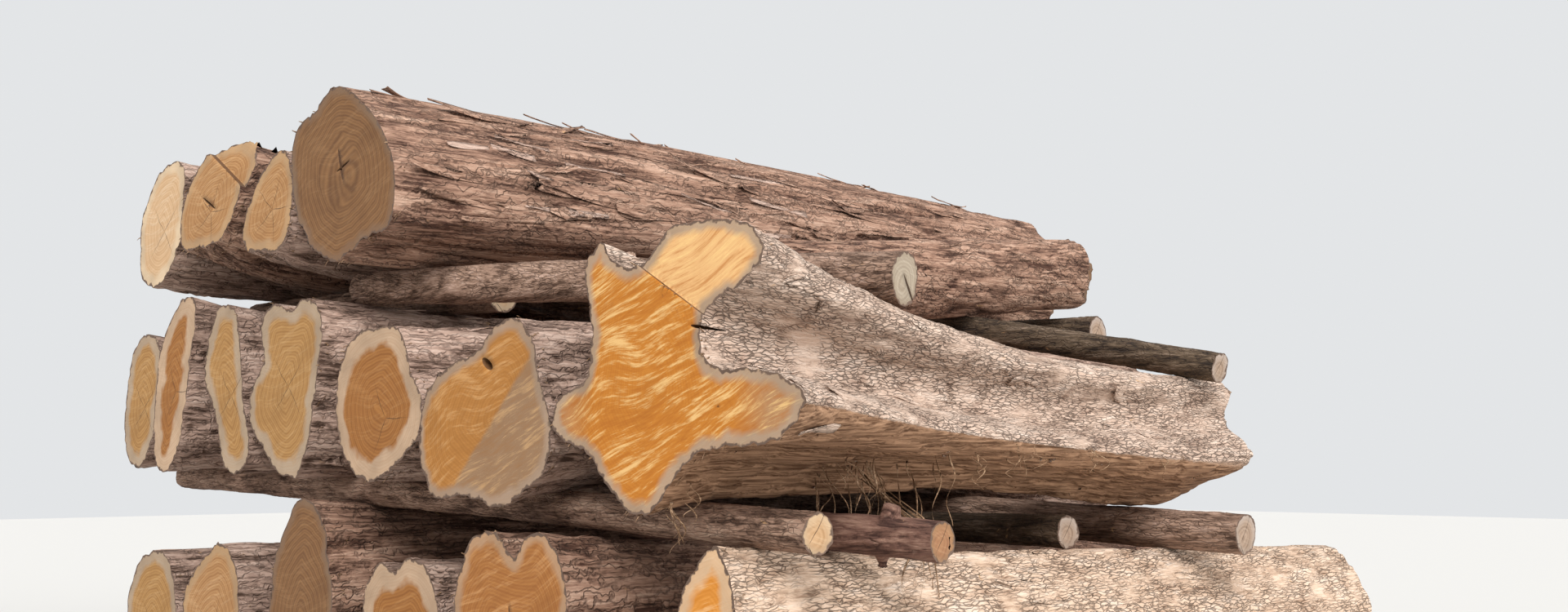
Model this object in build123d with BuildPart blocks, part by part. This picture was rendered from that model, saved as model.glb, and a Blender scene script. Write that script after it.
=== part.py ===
"""A heap of sawn logs: three tiers of fluted butt logs, held apart by bearer poles.

The logs lie along X with their sawn butts in one plane at low X.
The tiers run back along Y from the front log, and the poles lie across them.
Each piece is settled on what carries it, so a changed size moves all that lies above.
"""

from build123d import *
import math
import os

import numpy as np

# All sizes are in millimetres.

# How the pieces are settled on one another.
SEAT_CLEARANCE = 0.45
SETTLE_ROUNDS = 3
GRID_STEP = 3.0
GRID_MARGIN = 150.0
# How far apart points are taken around a piece and along it.
POINTS_AROUND = 5.0
POINTS_ALONG = 30.0

# Shares of a log's length at which its section is drawn.
LOG_STATIONS = (0.0, 0.05, 0.14, 0.32, 0.62, 1.0)
# How much of its butt's outline a log keeps to its far end.
FLUTE_KEPT = 0.22
# The share of a log's length in which its heel runs out.
HEEL_REACH = 0.05

# Sawn butts, as points (across, up) from the middle of the outline, anticlockwise seen from high X.
BUTTS = {
    # bottom tier, front to back
    "bottom_log_1": [(-84, 178), (-112, 120), (-150, 30), (-205, -70), (-160, -165), (-20, -188), (120, -170),
                     (165, -85), (110, -10), (20, 60), (-40, 160)],
    "bottom_log_2": [(-36, 178), (-90, 184), (-138, 120), (-150, -20), (-95, -165), (20, -190), (110, -150),
                     (150, -20), (140, 140), (95, 186), (30, 182), (-8, 150)],
    "bottom_log_3": [(-32, 158), (-90, 138), (-128, 60), (-125, -60), (-60, -150), (40, -155), (115, -80),
                     (125, 50), (100, 122), (60, 148), (20, 136)],
    "bottom_log_4": [(-14, 206), (-75, 168), (-110, 70), (-118, -90), (-60, -195), (40, -202), (110, -120),
                     (118, 20), (95, 120), (50, 180)],
    "bottom_log_5": [(-35, 166), (-95, 130), (-120, 20), (-100, -110), (-10, -165), (90, -130), (125, -20),
                     (95, 90), (20, 140)],
    "bottom_log_6": [(0, 150), (-80, 130), (-118, 30), (-95, -100), (0, -150), (95, -110), (122, 10), (80, 110)],
    # middle tier
    "middle_log_1": [(178, 193), (140, 160), (100, 158), (46, 207), (-45, 222), (-140, 203), (-168, 160),
                     (-125, 113), (-62, 78), (-62, 22), (-100, -8), (-205, -16), (-282, -62), (-240, -106),
                     (-100, -122), (-12, -172), (45, -222), (110, -200), (204, -125), (282, -88), (270, -44),
                     (204, -14), (200, 60), (222, 140), (215, 178)],
    "middle_log_2": [(38, 100), (2, 122), (-51, 154), (-132, 130), (-162, 40), (-190, -15), (-176, -85),
                     (-122, -118), (-60, -152), (72, -134), (142, -136), (189, -53), (184, 10), (130, 76)],
    "middle_log_3": [(-10, 138), (-78, 123), (-112, 60), (-146, 2), (-128, -72), (-60, -112), (18, -141),
                     (80, -118), (128, -55), (144, 30), (118, 105), (60, 140)],
    "middle_log_4": [(88, 170), (37, 166), (6, 156), (-30, 172), (-88, 162), (-121, 100), (-104, 10),
                     (-94, -73), (-76, -126), (-37, -170), (13, -163), (88, -110), (149, -60), (140, 20),
                     (104, 60), (125, 125)],
    "middle_log_5": [(44, 174), (-9, 158), (-37, 113), (-63, 20), (-94, -70), (-112, -125), (-76, -172),
                     (-14, -160), (36, -60), (99, 10), (106, 95), (74, 150)],
    "middle_log_6": [(-25, 186), (-67, 176), (-75, 90), (-66, -40), (-49, -150), (0, -188), (51, -158),
                     (75, -60), (79, 40), (67, 96), (28, 150)],
    "middle_log_7": [(-18, 148), (-63, 126), (-81, 20), (-59, -108), (0, -148), (56, -112), (81, 0),
                     (68, 90), (32, 132)],
    # top tier
    "top_log_1": [(10, 86), (-56, 70), (-88, 10), (-64, -62), (0, -84), (62, -60), (86, 4), (60, 66)],
    "top_log_2": [(38, 168), (-26, 142), (-94, 97), (-153, 34), (-190, -40), (-184, -106), (-112, -138),
                  (-50, -162), (40, -166), (114, -135), (162, -58), (188, 24), (180, 92), (92, 141)],
    "top_log_3": [(18, 96), (-47, 98), (-79, 40), (-90, -40), (-68, -92), (8, -100), (82, -90), (102, -50),
                     (85, 20), (56, 66)],
    "top_log_4": [(-54, 120), (-113, 96), (-126, 40), (-112, -40), (-86, -98), (-10, -121), (82, -115),
                     (128, -70), (123, 16), (78, 74), (10, 104)],
    "top_log_5": [(0, 136), (-78, 120), (-97, 36), (-98, -45), (-55, -112), (19, -136), (70, -116), (98, -40),
                  (96, 40), (58, 96)],
}

# Each log: where its butt lies along the heap, its length, its tip's radius, how far the butt's flare
# reaches as a share of its length, its bow sideways and upwards, how much deeper its butt is than the
# trunk's underside behind it, and the room to the log in front of it.
LOGS = {
    "bottom_log_1": dict(start=0, length=1760, tip=150, flare=0.22, bow=(10, 8), heel=0, room=0),
    "bottom_log_2": dict(start=-15, length=1780, tip=150, flare=0.25, bow=(-12, 6), heel=0, room=70),
    "bottom_log_3": dict(start=10, length=1850, tip=140, flare=0.25, bow=(8, 5), heel=0, room=70),
    "bottom_log_4": dict(start=0, length=1800, tip=164, flare=0.25, bow=(-8, 6), heel=0, room=30),
    "bottom_log_5": dict(start=-10, length=1900, tip=150, flare=0.25, bow=(10, 4), heel=0, room=40),
    "bottom_log_6": dict(start=5, length=1820, tip=140, flare=0.25, bow=(-6, 5), heel=0, room=10),
    "middle_log_1": dict(start=-8, length=1385, tip=70, flare=0.36, bow=(6, -26), heel=12, room=0),
    "middle_log_2": dict(start=-10, length=1700, tip=158, flare=0.25, bow=(-8, 5), heel=40, room=4),
    "middle_log_3": dict(start=0, length=1820, tip=152, flare=0.30, bow=(6, 4), heel=10, room=3),
    "middle_log_4": dict(start=-5, length=1760, tip=160, flare=0.25, bow=(-8, 6), heel=11, room=3),
    "middle_log_5": dict(start=5, length=1850, tip=118, flare=0.30, bow=(6, 4), heel=0, room=3),
    "middle_log_6": dict(start=-10, length=1800, tip=88, flare=0.30, bow=(-6, 5), heel=0, room=4),
    "middle_log_7": dict(start=0, length=1700, tip=84, flare=0.30, bow=(5, 4), heel=0, room=4),
    "top_log_1": dict(start=450, length=1150, tip=80, flare=0.50, bow=(8, 5), heel=0, room=0),
    "top_log_2": dict(start=0, length=1990, tip=166, flare=0.35, bow=(10, 8), heel=0, room=190),
    "top_log_3": dict(start=5, length=1780, tip=88, flare=0.30, bow=(-6, 4), heel=-28, room=0),
    "top_log_4": dict(start=-5, length=1850, tip=98, flare=0.30, bow=(6, 5), heel=-50, room=2),
    "top_log_5": dict(start=0, length=1760, tip=96, flare=0.30, bow=(-5, 4), heel=-12, room=2),
}

# Lobes that a second saw cut took off behind the butt: two points of the step in the butt's outline, with
# the lobe to the left of the way between them, the step's height and the slope of the second cut.
SECOND_CUTS = {
    "middle_log_1": dict(line=((-62, 70), (100, 158)), step=5, slope=6),
    "top_log_4": dict(line=((-104, 12), (36, 88)), step=12, slope=14),
}

# Drying splits and bark pockets in the butts: the middle, the way it runs in degrees, length, width and depth.
SPLITS = {
    "top_log_2": [
        dict(at=(6, 12), turn=70, length=64, width=7, depth=60),
        dict(at=(-4, 8), turn=-20, length=46, width=5, depth=50),
    ],
    "top_log_4": [dict(at=(10, -20), turn=25, length=70, width=5, depth=45)],
    "middle_log_2": [dict(at=(-14, 84), turn=30, length=34, width=15, depth=40)],
    "middle_log_1": [dict(at=(-58, 52), turn=10, length=44, width=6, depth=50)],
    "bottom_log_2": [dict(at=(0, 40), turn=80, length=60, width=5, depth=50)],
}

# Where each tier's front log has its middle, measured back from the heap's middle line.
TIER_FRONT = {"bottom": -800, "middle": -790, "top": -300}
# About how high each tier is set before its pieces settle.
TIER_HEIGHT = {"bottom": 0, "middle": 700, "top": 1400}

# Each bearer pole: its near end's place (along, back), its length, its turn from straight back,
# its radius at the near and far end, and its bow sideways and upwards.
BEARERS = {
    "lower_bearer_1": dict(near=(85, -1000), length=2110, turn=-2, radii=(31, 26), bow=(12, 6)),
    "lower_bearer_2": dict(near=(265, -1075), length=640, turn=6, radii=(31, 27), bow=(-8, 5)),
    "lower_bearer_3": dict(near=(900, -820), length=930, turn=-3, radii=(30, 25), bow=(8, 5)),
    "lower_bearer_4": dict(near=(1180, -1010), length=2120, turn=3, radii=(37, 35), bow=(-10, 6)),
    "upper_bearer_1": dict(near=(420, -865), length=1210, turn=14, radii=(45, 33), bow=(8, 8)),
    "upper_bearer_2": dict(near=(1560, -410), length=1400, turn=4, radii=(36, 30), bow=(8, 4)),
    "upper_bearer_3": dict(near=(1262, -912), length=720, turn=2, radii=(29, 26), bow=(-5, 3)),
    "upper_bearer_4": dict(near=(330, 120), length=880, turn=4, radii=(36, 30), bow=(6, 5)),
}
BEARER_STATIONS = (0.0, 0.3, 0.65, 1.0)
BEARER_CORNERS = 8
BEARER_UNEVEN = 0.03

# Branch stubs left on the poles: the place from the near end, the way out from the axis in degrees from
# sideways, the lean towards the far end, the reach from the axis, and the radius at the collar and the end.
STUBS = {
    "lower_bearer_2": [
        dict(at=96, turn=97, lean=-14, reach=49, collar=33, end=14),
        dict(at=104, turn=-80, lean=8, reach=46, collar=34, end=9),
    ],
    "upper_bearer_1": [dict(at=560, turn=60, lean=20, reach=58, collar=30, end=12)],
}
# A split from the heart to the rim in the near ends of poles: its turn, width and depth.
POLE_SPLITS = {"upper_bearer_1": dict(turn=-52, width=6, depth=60)}


def ring_angles(outline):
    """The angle of each point of a round tip that goes with a point of the butt, by the way round."""
    closed = outline + outline[:1]
    steps = [math.dist(a, b) for a, b in zip(closed, closed[1:])]
    first = math.atan2(outline[0][1], outline[0][0])
    shares = np.concatenate([[0], np.cumsum(steps[:-1])]) / sum(steps)
    return [first + 2 * math.pi * share for share in shares]


def bowed(bow, share):
    """How far a piece's axis stands from a straight line at a share of its length."""
    return [amount * math.sin(math.pi * share) for amount in bow]


def log_solid(name):
    """One log with its fluted butt, in its own place along the heap, with its middle on the X axis."""
    outline, log = BUTTS[name], LOGS[name]
    angles = ring_angles(outline)
    with BuildPart() as made:
        for share in LOG_STATIONS:
            kept = FLUTE_KEPT + (1 - FLUTE_KEPT) * math.exp(-share / log["flare"])
            kept = 1.0 if share == 0 else kept
            aside, up = bowed(log["bow"], share)
            heel = log["heel"] * (1 - math.exp(-share / HEEL_REACH)) * (1 - share)
            points = [
                (
                    kept * y + (1 - kept) * log["tip"] * math.cos(angle) + aside,
                    kept * z + (1 - kept) * log["tip"] * math.sin(angle) + up + heel * max(0, -math.sin(angle)),
                )
                for (y, z), angle in zip(outline, angles)
            ]
            with BuildSketch(Plane.YZ.offset(log["start"] + share * log["length"])):
                with BuildLine():
                    Spline(*points, periodic=True)
                make_face()
        loft()
        if name in SECOND_CUTS:
            add(lobe_cut(log["start"], **SECOND_CUTS[name]), mode=Mode.SUBTRACT)
        for split in SPLITS.get(name, []):
            add(split_cut(Plane.YZ.offset(log["start"]), **split), mode=Mode.SUBTRACT)
    return made.part


def lobe_cut(start, line, step, slope):
    """What a second saw cut takes off one lobe of a butt."""
    (y, z), (to_y, to_z) = line
    way = Vector(0, to_y - y, to_z - z)
    reach = way.length * 2
    with BuildSketch(Plane(origin=(start, y, z), x_dir=Vector(1, 0, 0).cross(way), z_dir=way)) as profile:
        with BuildLine():
            Polyline((0, -reach), (reach, -reach), (reach, step + reach * math.tan(math.radians(slope))),
                     (0, step), close=True)
        make_face()
    return extrude(profile.sketch, amount=reach, both=True, mode=Mode.PRIVATE)


def split_cut(plane, at, turn, length, width, depth):
    """What a lens-shaped split, which closes inwards, takes out of an end."""
    ends = []
    for share in (0, 1):
        with BuildSketch(plane.offset(share * depth)) as section:
            with Locations(Location((at[0], at[1], 0), (0, 0, turn))):
                Ellipse(length / 2 * (1 - 0.5 * share), width / 2 * (1 - 0.7 * share))
        ends.append(section.sketch)
    return loft(ends, mode=Mode.PRIVATE)


def bearer_solid(name):
    """One pole, lying back along Y from its near end at the origin."""
    pole = BEARERS[name]
    with BuildPart() as made:
        for share in BEARER_STATIONS:
            aside, up = bowed(pole["bow"], share)
            radius = pole["radii"][0] + share * (pole["radii"][1] - pole["radii"][0])
            points = []
            for corner in range(BEARER_CORNERS):
                angle = 2 * math.pi * corner / BEARER_CORNERS
                reach = radius * (1 + BEARER_UNEVEN * math.sin(3 * angle + 5 * share + pole["near"][0]))
                points.append((aside + reach * math.cos(angle), up + reach * math.sin(angle)))
            with BuildSketch(Plane.XZ.offset(-share * pole["length"])):
                with BuildLine():
                    Spline(*points, periodic=True)
                make_face()
        loft()
        for stub in STUBS.get(name, []):
            add(branch_stub(pole, **stub))
        if name in POLE_SPLITS:
            split = POLE_SPLITS[name]
            radius = pole["radii"][0]
            turn = math.radians(split["turn"])
            middle = (radius / 2 * math.cos(turn), -radius / 2 * math.sin(turn))
            end = Plane(origin=(0, 0, 0), x_dir=(1, 0, 0), z_dir=(0, 1, 0))
            gap = split_cut(end, middle, -split["turn"], 1.3 * radius, split["width"], split["depth"])
            add(gap, mode=Mode.SUBTRACT)
    return made.part


def branch_stub(pole, at, turn, lean, reach, collar, end):
    """A branch stub with a flared collar, from the axis of its pole outwards."""
    aside, up = bowed(pole["bow"], at / pole["length"])
    with BuildSketch(Plane.XZ) as profile:
        with BuildLine():
            Spline((collar, 0), (0.62 * collar, 0.45 * reach), (end, 0.78 * reach), (0.9 * end, reach))
            Polyline((0.9 * end, reach), (0, reach), (0, 0), (collar, 0))
        make_face()
    stub = revolve(profile.sketch, axis=Axis.Z, mode=Mode.PRIVATE)
    return stub.rotate(Axis.X, -lean).rotate(Axis.Y, 90 - turn).moved(Location((aside, at, up)))


class Piece:
    """One log or pole with its solid and points on its round side, which move together."""

    def __init__(self, name, part):
        self.name = name
        self.part = part
        side = part.faces().sort_by(SortBy.AREA)[-1]
        length = max(part.bounding_box().size)
        around = math.ceil(side.area / length / min(POINTS_AROUND, side.area / length / 48))
        along = math.ceil(length / POINTS_ALONG)
        self.points = np.array(
            [[tuple(side.position_at(i / around, j / along)) for j in range(along + 1)] for i in range(around + 1)]
        )

    def move(self, x=0.0, y=0.0, z=0.0):
        self.part = self.part.moved(Location((x, y, z)))
        self.points = self.points + (x, y, z)

    def turn(self, axis, degrees):
        """Turn about the X, Y or Z axis (0, 1 or 2) through the origin."""
        self.part = self.part.rotate((Axis.X, Axis.Y, Axis.Z)[axis], degrees)
        cosine, sine = math.cos(math.radians(degrees)), math.sin(math.radians(degrees))
        first, second = (axis + 1) % 3, (axis + 2) % 3
        turned = self.points.copy()
        turned[..., first] = cosine * self.points[..., first] - sine * self.points[..., second]
        turned[..., second] = sine * self.points[..., first] + cosine * self.points[..., second]
        self.points = turned

    def low(self, axis):
        return self.points[..., axis].min()

    def high(self, axis):
        return self.points[..., axis].max()

    def triangles(self):
        """Two triangles between each four neighbouring points."""
        near, far = self.points[:-1, :-1], self.points[1:, 1:]
        aside, ahead = self.points[1:, :-1], self.points[:-1, 1:]
        halves = [np.stack([near, aside, far], axis=2), np.stack([near, far, ahead], axis=2)]
        return np.concatenate(halves).reshape(-1, 3, 3)


def named(start, table):
    return [name for name in table if name.startswith(start)]


def log_width(name):
    """The most room that a log can take across the heap."""
    reach = [abs(y) for y, z in BUTTS[name]] + [LOGS[name]["tip"]]
    return 2 * (max(reach) + abs(LOGS[name]["bow"][0]))


def heap_reach():
    """The lowest and highest place along and across the heap that a piece can reach, with a margin."""
    along = [log["start"] + share * log["length"] for log in LOGS.values() for share in (0, 1)]
    across = []
    for pole in BEARERS.values():
        for share in (0, 1):
            along.append(pole["near"][0] - share * pole["length"] * math.sin(math.radians(pole["turn"])))
            across.append(pole["near"][1] + share * pole["length"])
    for tier, front in TIER_FRONT.items():
        names = named(tier, LOGS)
        across.append(front - log_width(names[0]))
        across.append(front + sum(log_width(name) + LOGS[name]["room"] for name in names))
    low = np.array([min(along), min(across)]) - GRID_MARGIN
    high = np.array([max(along), max(across)]) + GRID_MARGIN
    return low, high


GRID_CORNER, GRID_END = heap_reach()
GRID_SIZE = tuple(int(cells) for cells in np.ceil((GRID_END - GRID_CORNER) / GRID_STEP))


def skyline(piece, side):
    """The height of a piece's upper (side 1) or lower (side -1) face over a grid, as an array of X by Y."""
    corners = piece.triangles()
    first = np.ceil((corners.min(1)[:, :2] - GRID_CORNER) / GRID_STEP).astype(int)
    last = np.floor((corners.max(1)[:, :2] - GRID_CORNER) / GRID_STEP).astype(int)
    span = (last - first + 1).max(0)
    column = first[:, 0, None, None] + np.arange(span[0])[None, :, None] + np.zeros((1, 1, span[1]), int)
    row = first[:, 1, None, None] + np.arange(span[1])[None, None, :] + np.zeros((1, span[0], 1), int)
    (ax, ay, az), (bx, by, bz), (cx, cy, cz) = corners.transpose(1, 2, 0)[..., None, None]
    x = GRID_CORNER[0] + GRID_STEP * column - ax
    y = GRID_CORNER[1] + GRID_STEP * row - ay
    area = (bx - ax) * (cy - ay) - (cx - ax) * (by - ay)
    area = np.where(abs(area) < 1e-6, np.nan, area)
    second = (x * (cy - ay) - (cx - ax) * y) / area
    third = ((bx - ax) * y - x * (by - ay)) / area
    inside = (second >= -1e-9) & (third >= -1e-9) & (second + third <= 1 + 1e-9)
    height = az + second * (bz - az) + third * (cz - az)
    heights = np.full(GRID_SIZE, -np.inf)
    np.maximum.at(heights, (column[inside], row[inside]), side * height[inside])
    return side * heights


def rest_line(places, gaps, balance):
    """The drop and slope that bring a piece down on two supports, one on each side of its balance point."""
    hull = []
    for point in zip(places, gaps):
        while len(hull) > 1 and (
            (hull[-1][0] - hull[-2][0]) * (point[1] - hull[-2][1])
            <= (hull[-1][1] - hull[-2][1]) * (point[0] - hull[-2][0])
        ):
            hull.pop()
        hull.append(point)
    for (left, left_gap), (right, right_gap) in zip(hull, hull[1:]):
        if left <= balance <= right:
            return left_gap, (right_gap - left_gap) / (right - left), left
    return min(gaps), 0.0, balance


def settle(piece, ground, along, clearance):
    """Lower a piece, with its length along X (0) or Y (1), until it rests on the heights of the ground."""
    for last in [False] * SETTLE_ROUNDS + [True]:
        gap = skyline(piece, -1) - ground
        by_place = gap.min(axis=1 - along)
        held = np.isfinite(by_place)
        places = GRID_CORNER[along] + GRID_STEP * np.arange(GRID_SIZE[along])[held]
        gaps = by_place[held]
        if last:
            piece.move(z=clearance - gaps.min())
            return
        middle = tuple(piece.part.center())
        drop, slope, pivot = rest_line(places, gaps, middle[along])
        angle = math.degrees(math.atan(slope))
        to_pivot = [0.0, 0.0, middle[2]]
        to_pivot[along] = pivot
        piece.move(*(-value for value in to_pivot))
        # A turn that lowers the far end of the piece where the gap grows with the place.
        piece.turn(1 - along, angle if along == 0 else -angle)
        piece.move(*to_pivot)
        piece.move(z=clearance - drop)


def log_piece(name):
    return Piece(name, log_solid(name))


def bearer_piece(name):
    pole = BEARERS[name]
    piece = Piece(name, bearer_solid(name))
    piece.turn(2, pole["turn"])
    piece.move(x=pole["near"][0], y=pole["near"][1])
    return piece


def lay_logs(tier, names, ground, clearance):
    """Lay a tier's logs beside each other from the front, each settled on the ground."""
    laid = []
    for name in names:
        piece = log_piece(name)
        front = laid[-1].high(1) + LOGS[name]["room"] if laid else TIER_FRONT[tier] + piece.low(1)
        piece.move(y=front - piece.low(1), z=TIER_HEIGHT[tier] - piece.low(2))
        settle(piece, ground, 0, clearance)
        laid.append(piece)
    return laid


def lay_bearers(tier, names, ground):
    """Lay poles back across a tier of logs."""
    laid = []
    for name in names:
        piece = bearer_piece(name)
        piece.move(z=TIER_HEIGHT[tier] - piece.low(2))
        settle(piece, ground, 1, SEAT_CLEARANCE)
        laid.append(piece)
    return laid


def raised(ground, pieces):
    """The heights of the ground with these pieces on it."""
    for piece in pieces:
        ground = np.maximum(ground, skyline(piece, 1))
    return ground


floor = np.zeros(GRID_SIZE)
bottom = lay_logs("bottom", named("bottom", LOGS), floor, 0.0)
ground = raised(np.full(GRID_SIZE, -np.inf), bottom)
lower_bearers = lay_bearers("middle", named("lower", BEARERS), ground)
ground = raised(ground, lower_bearers)
middle = lay_logs("middle", named("middle", LOGS), ground, SEAT_CLEARANCE)
ground = raised(ground, middle)
upper_bearers = lay_bearers("top", named("upper", BEARERS), ground)
ground = raised(ground, upper_bearers)
top = lay_logs("top", named("top", LOGS), ground, SEAT_CLEARANCE)

heap = bottom + lower_bearers + middle + upper_bearers + top
middle_x = (min(piece.low(0) for piece in heap) + max(piece.high(0) for piece in heap)) / 2
middle_y = (min(piece.low(1) for piece in heap) + max(piece.high(1) for piece in heap)) / 2
lowest = min(piece.low(2) for piece in heap)
os.makedirs("parts", exist_ok=True)
for piece in heap:
    piece.move(-middle_x, -middle_y, -lowest)
    piece.part.label = piece.name
    export_step(piece.part, f"parts/{piece.name}.step")
    print(piece.name, *(f"{piece.low(axis):.0f}..{piece.high(axis):.0f}" for axis in range(3)), piece.points.shape[:2])
print("moved by", round(-middle_x, 1), round(-middle_y, 1))
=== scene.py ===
"""Dresses a heap of sawn logs with furrowed bark, sawn ends, lifted strips and hanging fibres."""

import math
import random
from functools import partial

import bmesh
import bpy
import numpy as np
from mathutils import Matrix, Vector
from mathutils.bvhtree import BVHTree
from mathutils.kdtree import KDTree


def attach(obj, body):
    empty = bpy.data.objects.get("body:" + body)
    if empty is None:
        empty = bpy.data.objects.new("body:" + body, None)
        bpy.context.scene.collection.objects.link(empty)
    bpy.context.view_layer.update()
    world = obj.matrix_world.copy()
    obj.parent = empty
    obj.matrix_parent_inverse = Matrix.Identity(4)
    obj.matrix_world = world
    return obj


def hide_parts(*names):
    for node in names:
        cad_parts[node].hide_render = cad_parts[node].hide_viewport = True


bl_info = {
    "name": "Heap of Logs",
    "version": (1, 0, 0),
    "blender": (4, 5, 0),
    "location": "View3D > Sidebar > Logs",
    "description": "Dresses the packed logs and poles with bark, sawn ends and loose fibres",
    "category": "Object",
}

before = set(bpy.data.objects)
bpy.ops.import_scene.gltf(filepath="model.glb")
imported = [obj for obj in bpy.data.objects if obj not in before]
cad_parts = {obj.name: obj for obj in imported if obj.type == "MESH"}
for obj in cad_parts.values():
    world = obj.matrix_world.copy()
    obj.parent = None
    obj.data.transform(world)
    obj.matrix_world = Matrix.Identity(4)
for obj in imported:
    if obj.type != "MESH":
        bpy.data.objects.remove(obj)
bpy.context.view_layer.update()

# All sizes are in metres, save where a comment says otherwise.

# Face material places on every log and pole.
BARK, NEAR_END, FAR_END = 0, 1, 2
# What made an end's face: the saw, a second saw cut further back, or a split.
SAWN, SECOND_CUT, SPLIT = 1, 2, 3
# The angle past which an edge parts a sawn end from the bark, and how far in from an end its splits reach.
SHARP = math.radians(38)
END_REACH = 0.065
# A second cut is as square to the log as this, and has at least this share of the saw cut's area.
SQUARE, LEAST_CUT = 0.9, 0.1

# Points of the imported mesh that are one, and edges with the same plane on both sides, by the cosine.
SAME_POINT, SAME_PLANE = 1e-5, 0.999
# How near to each other bark points may lie: a share of the mesh's side, or less on a mesh finer than given,
# which keeps its grooves.
CROWDING, FINE_SIDE, FINE_CROWDING = 0.3, 0.01, 0.0006
# How many times a mesh's side an edge may be long on the bark and on the ends, and in how many rounds at
# most the longer ones are divided.
BARK_EDGE, END_EDGE = 1.5, 1.4
BARK_ROUNDS, END_ROUNDS = 4, 8

# The noises behind the relief of bark, by their size across and along the grain: how the grain wanders, and
# its fine roughness.
WANDER_SIZE, ROUGH_SIZE = (0.06, 0.25), (0.012, 0.06)
# How far the grain wanders, how high the roughness is, and the most that bark stands out from the solid.
WANDER, ROUGHNESS, STANDS_OUT = 0.022, 0.0025, 0.004
# Where the furrows' noise starts to cut in, and how it deepens from there.
FURROW_FROM, FURROW_POWER = 0.74, 1.3
# The plates' noise: its size against the furrows', the levels that it is cut into, how steep the torn edge
# between two levels is, and the level of the solid itself.
PLATE_WIDER, PLATE_LONGER, PLATE_LEVELS, EDGE_STEEPNESS, SOLID_LEVEL = 2.4, 2.6, 4.5, 7, 2.6
# A worn end: how many times its depth the wear reaches in, the width of its bites, and the share that the
# wood inside the rim wears.
WEAR_REACH, BITE_WIDTH, INNER_WEAR = 3, 0.05, 0.4
# How far under a log's middle line the painted shade of its belly takes to come in full.
BELLY_SHADE_FADE = 0.06

# Rays that look for a log's bark start this far out. A face that leans more than this along the log is the
# saw cut's.
RAY_REACH, CUT_FACING = 0.5, 0.6
# How far from a log's ends its strips stay, and the radius at which a strip's width is laid round the log.
END_MARGIN, USUAL_RADIUS = 0.01, 0.15
# How thick lifted strips, torn fibres and bark strings are.
STRIP_THICKNESS, FIBRE_THICKNESS, STRING_THICKNESS = 0.0016, 0.0008, 0.0007
# Seeds of the relief's noises: the first log's, the first pole's, and the step from one piece to the next.
LOG_SEED, POLE_SEED, SEED_STEP = 7, 1007, 40
# The seed of the random draws behind all loose bark.
LOOSE_SEED = 11

# Barks by their relief, as shares of the sizes in the panel.
BARK_FORMS = {
    "fissured": dict(furrow=0.75, spacing=0.7, length=0.6, plate=0.55),
    "shaggy": dict(furrow=1.2, spacing=1.15, length=2.2, plate=1.25),
    "fibrous": dict(furrow=0.9, spacing=0.9, length=1.3, plate=0.8),
    "thin": dict(furrow=0.25, spacing=0.5, length=1.0, plate=0.2),
}

# How each log is finished: its bark and the bark's form, its sawn ends, the side of its mesh's triangles, how
# far its thin end is worn back, and where its pith lies from the middle of its butt (across, up).
LOG_FINISH = {
    "middle_log_1": dict(
        bark="mottled", form="fissured", end="amber", side=0.0080, worn=0.012, pith=(0.04, 0.0)
    ),
    "middle_log_2": dict(bark="fibrous", form="fibrous", end="half_grey", side=0.012, pith=(-0.03, 0.02)),
    "middle_log_3": dict(bark="fibrous", form="fibrous", end="ringed", side=0.012, pith=(-0.01, -0.01)),
    "middle_log_4": dict(bark="fibrous", form="fibrous", end="brown", side=0.013, pith=(0.0, 0.02)),
    "middle_log_5": dict(bark="fibrous", form="fibrous", end="brown", side=0.014),
    "middle_log_6": dict(bark="fibrous", form="fibrous", end="ringed", side=0.016),
    "middle_log_7": dict(bark="fibrous", form="fibrous", end="brown", side=0.016),
    "top_log_1": dict(bark="russet", form="fibrous", end="umber", side=0.008, worn=0.028),
    "top_log_2": dict(
        bark="russet", form="shaggy", end="umber", side=0.0090, worn=0.035, pith=(-0.005, 0.012)
    ),
    "top_log_3": dict(bark="fibrous", form="fibrous", end="tan", side=0.014),
    "top_log_4": dict(bark="russet", form="shaggy", end="tan", side=0.012, pith=(0.01, -0.02)),
    "top_log_5": dict(bark="fibrous", form="fibrous", end="straw", side=0.014),
    "bottom_log_1": dict(bark="straw_bark", form="fissured", end="bright_heart", side=0.0092, worn=0.02),
    "bottom_log_2": dict(bark="russet", form="fibrous", end="orange", side=0.013, pith=(0.03, -0.02)),
    "bottom_log_3": dict(bark="fibrous", form="fibrous", end="ringed", side=0.013),
    "bottom_log_4": dict(bark="russet", form="shaggy", end="umber", side=0.013),
    "bottom_log_5": dict(bark="fibrous", form="fibrous", end="tan", side=0.016),
    "bottom_log_6": dict(bark="fibrous", form="fibrous", end="brown", side=0.02),
}

# The same for the bearer poles.
POLE_FINISH = {
    "lower_bearer_1": dict(bark="pole_brown", form="thin", end="pole_straw", side=0.015),
    "lower_bearer_2": dict(bark="pole_smooth", form="thin", end="pole_orange", side=0.008),
    "lower_bearer_3": dict(bark="pole_dark", form="thin", end="pole_end", side=0.015),
    "lower_bearer_4": dict(bark="pole_pale", form="thin", end="pole_end", side=0.015),
    "upper_bearer_1": dict(bark="pole_pale", form="thin", end="pole_pale_end", side=0.012),
    "upper_bearer_2": dict(bark="pole_dark", form="thin", end="pole_end", side=0.015),
    "upper_bearer_3": dict(bark="pole_dark", form="thin", end="pole_end", side=0.015),
    "upper_bearer_4": dict(bark="pole_pale", form="thin", end="straw", side=0.015),
}

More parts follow.
